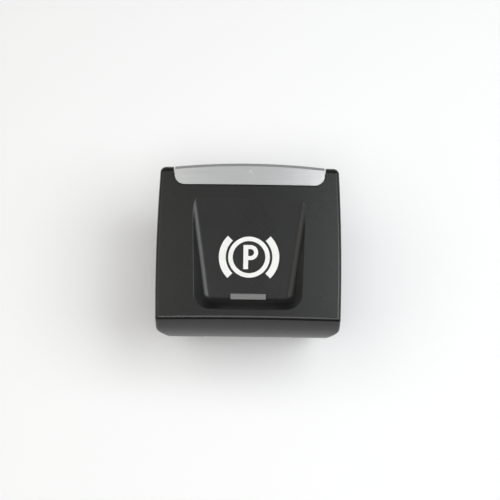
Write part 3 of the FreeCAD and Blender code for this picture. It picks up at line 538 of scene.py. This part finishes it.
def make_sign():
    """Ring, two arcs and letter of the parking brake sign, which ride with the rocker."""
    rims = [arc_points(radius, 0, 2 * math.pi, RING_STEPS)[:-1] for radius in (RING_INNER, RING_OUTER)]
    pieces = [printed("sign_ring", [rims], closed=True)]
    for side, middle in (("right", 0.0), ("left", math.pi)):
        start = middle - ARC_HALF_ANGLE
        end = middle + ARC_HALF_ANGLE
        band = [arc_points(radius, start, end, ARC_STEPS) for radius in (ARC_INNER, ARC_OUTER)]
        pieces.append(printed(f"sign_arc_{side}", [band]))
    pieces.append(printed("sign_letter", letter_bands()))
    white = print_white()
    for piece in pieces:
        piece.data.materials.append(white)
        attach(piece, "rocker")


# Studio

def make_floor():
    """White table, lifted a little for the eye only, so that it keeps the shadows."""
    mesh = bpy.data.meshes.new("table")
    corners = [(-FLOOR_HALF, -FLOOR_HALF, 0), (FLOOR_HALF, -FLOOR_HALF, 0), (FLOOR_HALF, FLOOR_HALF, 0),
               (-FLOOR_HALF, FLOOR_HALF, 0)]
    mesh.from_pydata(corners, [], [(0, 1, 2, 3)])
    table = bpy.data.objects.new("table", mesh)
    bpy.context.scene.collection.objects.link(table)
    made = bpy.data.materials.new("table_white")
    made.use_nodes = True
    tree = made.node_tree
    tree.nodes.clear()
    out = add(tree, "ShaderNodeOutputMaterial")
    matt = add(tree, "ShaderNodeBsdfDiffuse", Color=(FLOOR_ALBEDO, FLOOR_ALBEDO, FLOOR_ALBEDO, 1.0))
    lift = add(tree, "ShaderNodeEmission", Color=(1.0, 1.0, 1.0, 1.0))
    eye, shown = sight(tree)
    seen = math_node(tree, "MAXIMUM", eye, shown)
    join(tree, math_node(tree, "MULTIPLY", seen, FLOOR_LIFT), lift.inputs["Strength"])
    both = tree.nodes.new("ShaderNodeAddShader")
    join(tree, matt.outputs[0], both.inputs[0])
    join(tree, lift.outputs[0], both.inputs[1])
    join(tree, both.outputs[0], out.inputs["Surface"])
    mesh.materials.append(made)


def softbox(name, azimuth, elevation, half_angle, radiance, colour):
    """Round lamp aimed at the switch, unseen by the camera."""
    azimuth = math.radians(azimuth)
    elevation = math.radians(elevation)
    radius = LAMP_DISTANCE * math.tan(math.radians(half_angle))
    area = math.pi * radius ** 2
    lamp = bpy.data.lights.new(name, "AREA")
    lamp.shape = "DISK"
    lamp.size = 2 * radius
    lamp.energy = radiance * math.pi * area
    lamp.color = colour
    holder = bpy.data.objects.new(name, lamp)
    direction = Vector((math.cos(elevation) * math.cos(azimuth), math.cos(elevation) * math.sin(azimuth),
                        math.sin(elevation)))
    holder.location = LAMP_AIM + direction * LAMP_DISTANCE
    holder.rotation_euler = direction.to_track_quat("Z", "Y").to_euler()
    holder.visible_camera = False
    bpy.context.scene.collection.objects.link(holder)


def make_world():
    """Dim room, with a white backdrop past the table for the eye, which metal and clear plastic show too."""
    world = bpy.data.worlds.new("room")
    world.use_nodes = True
    bpy.context.scene.world = world
    tree = world.node_tree
    tree.nodes.clear()
    out = add(tree, "ShaderNodeOutputWorld")
    parts = add(tree, "ShaderNodeSeparateXYZ")
    join(tree, tree.nodes.new("ShaderNodeTexCoord").outputs["Generated"], parts.inputs[0])
    room = add(tree, "ShaderNodeBackground", Color=(1.0, 1.0, 1.0, 1.0))
    level = smooth_step(tree, parts.outputs["Y"], *ROOM_TURN, ROOM_FRONT, ROOM_LEVEL)
    join(tree, level, room.inputs["Strength"])
    white = add(tree, "ShaderNodeBackground", Color=(1.0, 1.0, 1.0, 1.0), Strength=BACKDROP_WHITE)
    low = smooth_step(tree, parts.outputs["Z"], *BACKDROP_HEIGHT)
    behind = smooth_step(tree, parts.outputs["Y"], *BACKDROP_TURN)
    backdrop = math_node(tree, "MULTIPLY", low, behind)
    eye, shown = sight(tree)
    seen = math_node(tree, "MAXIMUM", eye, math_node(tree, "MULTIPLY", shown, backdrop))
    both = tree.nodes.new("ShaderNodeMixShader")
    join(tree, seen, both.inputs[0])
    join(tree, room.outputs[0], both.inputs[1])
    join(tree, white.outputs[0], both.inputs[2])
    join(tree, both.outputs[0], out.inputs["Surface"])


def make_camera():
    """Camera at the photograph's viewing angle, rolled by the photograph's small tilt."""
    camera = bpy.data.cameras.new("camera")
    camera.sensor_width = SENSOR_WIDTH
    camera.lens = SENSOR_WIDTH * FOCAL_PIXELS / PHOTO_WIDTH
    camera.clip_start = CAMERA_CLIP
    holder = bpy.data.objects.new("camera", camera)
    back = Vector((0, -math.cos(CAMERA_ELEVATION), math.sin(CAMERA_ELEVATION)))
    holder.location = CAMERA_AIM + back * CAMERA_DISTANCE
    turn = (-back).to_track_quat("-Z", "Y").to_matrix()
    holder.rotation_euler = (turn @ Matrix.Rotation(CAMERA_ROLL, 3, "Z")).to_euler()
    bpy.context.scene.collection.objects.link(holder)
    bpy.context.scene.camera = holder


dress_nodes()
make_sign()
make_floor()
for lamp_values in SOFTBOXES:
    softbox(**lamp_values)
make_world()
make_camera()
bpy.context.scene.view_settings.view_transform = "Standard"
